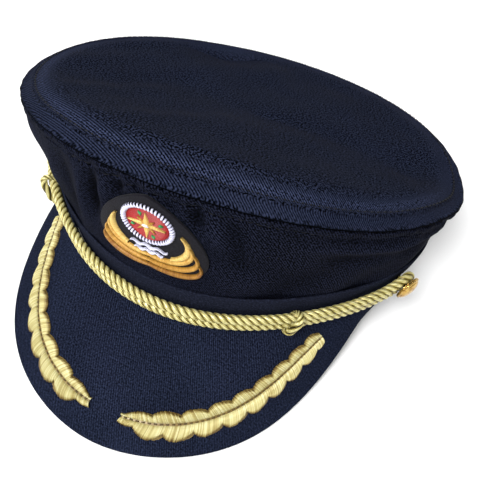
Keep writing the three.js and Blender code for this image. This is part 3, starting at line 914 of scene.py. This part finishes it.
def sprig(side):
    """A leaf sprig: satin threads from its rib out to both lobed edges, over a low padding."""
    word = "left" if side > 0 else "right"
    rng = np.random.default_rng(51 + side)
    count = SPRIG["threads"]
    s = (np.arange(count) + 0.5) / count

    def rib(share):
        a = side * np.radians(mix(SPRIG["start"], SPRIG["end"], share))
        return a, rib_line(a)

    def beside(share, off):
        """Place beside the rib, in the cover's own coordinates."""
        a, w = rib(share)
        d = 0.005
        step = on_cover(a + d, w, 0) - on_cover(a - d, w, 0)
        per_angle = np.linalg.norm(step, axis=-1) / (2 * d)
        rise = (rib_line(a + d) - rib_line(a - d)) / (2 * d)
        size = np.hypot(per_angle, rise)
        return np.stack([a - off * rise / size / per_angle, w + off * per_angle / size], -1)

    ends = np.minimum(1, np.minimum(0.35 + 5 * s, 0.62 + 8 * (1 - s)))

    def lobes(shift):
        return 0.56 + 0.48 * np.abs(np.sin(math.pi * (SPRIG["lobes"] * s + shift))) ** 0.65

    outer = SPRIG["outer"] * ends * (1 - 0.25 * s) * lobes(0.5) * rng.uniform(0.97, 1.03, count)
    inner = SPRIG["inner"] * ends * (1 - 0.15 * s) * lobes(0.9) * rng.uniform(0.97, 1.03, count)
    t = np.linspace(0, 1, 8)
    for part, reach, sign in (("outer", outer, 1), ("inner", inner, -1)):
        starts = beside(s, sign * 0.15 + 0 * s)
        finish = beside(np.clip(s - SPRIG["lean"] * reach / 6, -0.02, 1.01), sign * reach)
        tone = 0.62 + rng.uniform(-0.24, 0.24, (count, 1)) - 0.6 * smooth(t, 0.7, 1)[None, :]
        piece = threads(f"sprig_{word}_{part}_threads", starts, finish, on_cover, gold_thread,
                        "gold_thread", low=0.35, crest=1.75, width=0.44, shade=tone, segments=7, sag=0.6)
        if part == "outer":
            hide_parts(f"sprig_{word}")
    begin = np.linspace(0.01, 0.97, SPRIG["stitches"])
    places = beside(begin, 0 * begin)
    stops = beside(begin + 0.013, 0 * begin)
    threads(f"sprig_{word}_rib_stitches", places, stops, on_cover, rib_thread, "gold_thread",
            low=1.0, crest=1.45, width=0.6, shade=np.full((len(begin), 4), 0.3), segments=3)
    bed = np.stack([beside(s, -inner * 0.96), beside(s, 0 * s), beside(s, outer * 0.96)], 1)
    top_row = on_cover(bed[..., 0], bed[..., 1], np.array([0.25, 0.95, 0.25])[None, :])
    low_row = on_cover(bed[..., 0], bed[..., 1], 0.05)
    rings = np.concatenate([top_row, low_row[:, ::-1]], 1)
    pad = swept(f"sprig_{word}_padding", rings, False, 0 * rings, np.full(rings.shape[:2], 0.15))
    finish_piece(pad, gold_thread, "gold_thread")


sprig(1)
sprig(-1)


# Badge: a plain felt patch with a compass star on a round field, over stitched waves

PATCH_TOP = GAP + BADGE["thick"]


def patch_edge(b):
    c, s = np.cos(b), np.sin(b)
    wide = BADGE["half"] * np.sign(c)
    low = np.stack([wide * np.abs(c) ** 0.75, BADGE["waist"] + BADGE["below"] * s], -1)
    high = np.stack([wide * np.abs(c) ** 1.5, BADGE["waist"] + BADGE["above"] * np.maximum(s, 0) ** 1.1], -1)
    return np.where((s < 0)[..., None], low, high)


def patch():
    b = 2 * math.pi * np.arange(240) / 240
    edge = patch_edge(b)
    middle = np.array([0, BADGE["waist"]])
    top, back = PATCH_TOP, GAP - 0.1
    rows = [(0.03, top), (0.3, top), (0.6, top), (0.85, top), (0.955, top), (0.97, top - 0.12), (0.985, top),
            (1, top - 0.35), (1, back), (0.6, back), (0.03, back)]
    rings = []
    for share, out in rows:
        place = mix(middle, edge, share)
        rings.append(on_front(place[:, 0], place[:, 1], out))
    return swept("badge_ground", np.stack(rings), False)


def satin(name, left, right, material, slot, *, crest, tone, low=0.0, width=0.5, segments=5):
    """Satin stitches between two rails of places on the badge."""
    rng = np.random.default_rng(len(name))
    shade = tone + rng.uniform(-0.12, 0.12, (len(left), 1)) * np.ones((1, segments + 1))
    return threads(name, left, right, on_front, material, slot, low=PATCH_TOP + low,
                   crest=PATCH_TOP + crest, width=width, shade=shade, segments=segments, sag=0.5)


def resample(points, pitch):
    points = np.asarray(points, float)
    length = arc_lengths(points)
    want = np.arange(0, length[-1], pitch)
    return np.stack([np.interp(want, length, points[:, i]) for i in range(2)], -1)


def bar(name, spine, wide, material, slot, *, tone, crest):
    """A padded bar along a spine of places, its half width given by a function of the share."""
    line = resample(spine, 0.4)
    run = unit(np.gradient(line, axis=0))
    side = np.stack([-run[:, 1], run[:, 0]], -1)
    half = wide(np.linspace(0, 1, len(line)))[:, None]
    return satin(name, line + side * half, line - side * half, material, slot, crest=crest, tone=tone)


# Crests of the stitched waves: four steering points each, from the middle of the badge outward
CRESTS = [
    [(-0.2, -7.2), (12, -10.2), (25.4, -6.4), (20.6, 3.4)],
    [(-0.2, -3.6), (11, -6.4), (24.6, -0.6), (18.6, 9.4)],
    [(-0.2, 0.2), (10, -2.8), (22.4, 4.4), (16.4, 14.8)],
    [(9.6, 2.6), (13, 3.4), (20.4, 9.8), (13.8, 19.6)],
]


def bezier(points):
    t = np.linspace(0, 1, 40)[:, None]
    a, b, c, d = points
    return (1 - t) ** 3 * a + 3 * (1 - t) ** 2 * t * b + 3 * (1 - t) * t * t * c + t ** 3 * d


def badge():
    finish_piece(patch(), patch_felt, "badge_cloth", "badge_patch")
    hub = np.array([0.0, DISC["up"]])
    rows = np.arange(-9.0, 9.01, 0.42)
    chord = np.sqrt(DISC["field"] ** 2 - rows ** 2)
    left = hub + np.stack([-chord, rows], -1)
    right = hub + np.stack([chord, rows], -1)
    field = satin("badge_red_field", left, right, red_thread, "badge_red",
                  crest=0.7, tone=0.6, low=0.1, width=0.56, segments=8)
    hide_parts("badge_disc")
    b = 2 * math.pi * np.arange(46) / 46
    ray = np.stack([np.cos(b), np.sin(b)], -1)
    lean = np.stack([np.cos(b + 0.1), np.sin(b + 0.1)], -1)
    satin("badge_rope_ring", hub + ray * DISC["field"], hub + lean * DISC["ring"], lilac_thread,
          "badge_cloth", crest=1.5, tone=0.6, low=0.3, width=1.0)
    for i in range(8):
        long, wide, tone, crest = ((7.9, 1.9, 0.8, 1.6), (5.2, 1.4, 0.4, 1.45))[i % 2]
        way = np.array([math.cos(math.pi / 4 * i), math.sin(math.pi / 4 * i)])
        bar(f"badge_star_ray_{i}", [hub + way * 0.8, hub + way * long], lambda t, w=wide: w * (1 - t) + 0.12,
            badge_gold, "gold_thread", tone=tone, crest=crest)
    for i in range(4):
        turn = math.pi / 8 + math.pi / 2 * i
        way = np.array([math.cos(turn), math.sin(turn)])
        bar(f"badge_green_dot_{i}", [hub + way * 5.6, hub + way * 7.6],
            lambda t: 0.2 + 0.9 * np.sin(math.pi * t), green_thread, "badge_cloth", tone=0.6, crest=1.3)
    bar("badge_star_hub", [hub - [1.3, 0], hub + [1.3, 0]], lambda t: 1.3 * np.sin(math.pi * t) ** 0.5 + 0.1,
        lilac_thread, "badge_cloth", tone=0.8, crest=2.1)
    for side in (1, -1):
        word = "left" if side > 0 else "right"
        for i, steering in enumerate(CRESTS):
            spine = bezier(np.array(steering) * [side, 1])
            bar(f"badge_wave_{word}_{i}", spine, lambda t: 0.25 + 1.3 * np.sin(math.pi * (0.14 + 0.84 * t)),
                badge_gold, "gold_thread", tone=0.2 + 0.2 * i, crest=1.5)
    along = np.linspace(0, 1, 80)
    for i, (half, up) in enumerate(((8.0, 5.4), (6.2, 2.2))):
        foam = np.stack([mix(-half, half, along), up + 0.7 * np.sin(2 * math.pi * 3 * along)], -1)
        bar(f"badge_foam_{i}", foam, lambda t: 0.3 + 0.4 * np.sin(math.pi * t), lilac_thread, "badge_cloth",
            tone=0.7, crest=1.2)


badge()


# Studio: pale floor, soft lights and the camera at the photograph's angle

def studio():
    mesh = bpy.data.meshes.new("floor")
    size = 6.0
    corners = [(-size, -size, 0), (size, -size, 0), (size, size, 0), (-size, size, 0)]
    mesh.from_pydata(corners, [], [(0, 1, 2, 3)])
    floor = bpy.data.objects.new("floor", mesh)
    bpy.context.scene.collection.objects.link(floor)
    material, _, shader = new_material("floor_paper")
    shader.inputs["Base Color"].default_value = (0.9, 0.9, 0.9, 1)
    shader.inputs["Roughness"].default_value = 0.9
    mesh.materials.append(material)
    world = bpy.data.worlds.new("studio")
    bpy.context.scene.world = world
    world.use_nodes = True
    world.node_tree.nodes["Background"].inputs["Color"].default_value = (1, 1, 1, 1)
    world.node_tree.nodes["Background"].inputs["Strength"].default_value = 0.45
    bpy.context.scene.view_settings.view_transform = "Standard"


def lamp(name, azimuth, elevation, distance, size, power):
    a, e = math.radians(azimuth), math.radians(elevation)
    way = Vector((math.sin(a) * math.cos(e), -math.cos(a) * math.cos(e), math.sin(e)))
    data = bpy.data.lights.new(name, "AREA")
    data.shape = "DISK"
    data.size = size
    data.energy = power
    light = bpy.data.objects.new(name, data)
    light.location = Vector((0, 0, 0.06)) + way * distance
    light.rotation_mode = "QUATERNION"
    light.rotation_quaternion = (-way).to_track_quat("-Z", "Y")
    bpy.context.scene.collection.objects.link(light)


# Camera, in the cap's own axes: angles in degrees, distances in mm, and the focal length over the
# picture's side
CAMERA = dict(azimuth=12.9, elevation=38.4, roll=15.3, distance=388.5, focal=702.5 / 480,
              look=(11.0, -1.9, -17.4))


def camera():
    a, e, r = (math.radians(CAMERA[k]) for k in ("azimuth", "elevation", "roll"))
    back = np.array([math.sin(a) * math.cos(e), -math.cos(a) * math.cos(e), math.sin(e)])
    level_right = np.array([math.cos(a), math.sin(a), 0])
    level_up = np.cross(back, level_right)
    right = level_right * math.cos(r) + level_up * math.sin(r)
    up = -level_right * math.sin(r) + level_up * math.cos(r)
    eye = np.array(CAMERA["look"]) + back * CAMERA["distance"]
    place = rest(eye)
    turn = [(rest(eye + way) - place) * 1000 for way in (right, up, back)]
    data = bpy.data.cameras.new("camera")
    data.sensor_width = 36
    data.lens = CAMERA["focal"] * data.sensor_width
    data.clip_start = 0.01
    view = bpy.data.objects.new("camera", data)
    rows = Matrix([list(v) for v in turn]).transposed()
    view.matrix_world = Matrix.Translation(Vector(place)) @ rows.to_4x4()
    bpy.context.scene.collection.objects.link(view)
    bpy.context.scene.camera = view


studio()
lamp("key", azimuth=-6, elevation=50, distance=1.3, size=0.45, power=22)
lamp("fill", azimuth=-70, elevation=40, distance=1.3, size=0.9, power=4.5)
lamp("back", azimuth=165, elevation=45, distance=1.4, size=0.9, power=5)
camera()
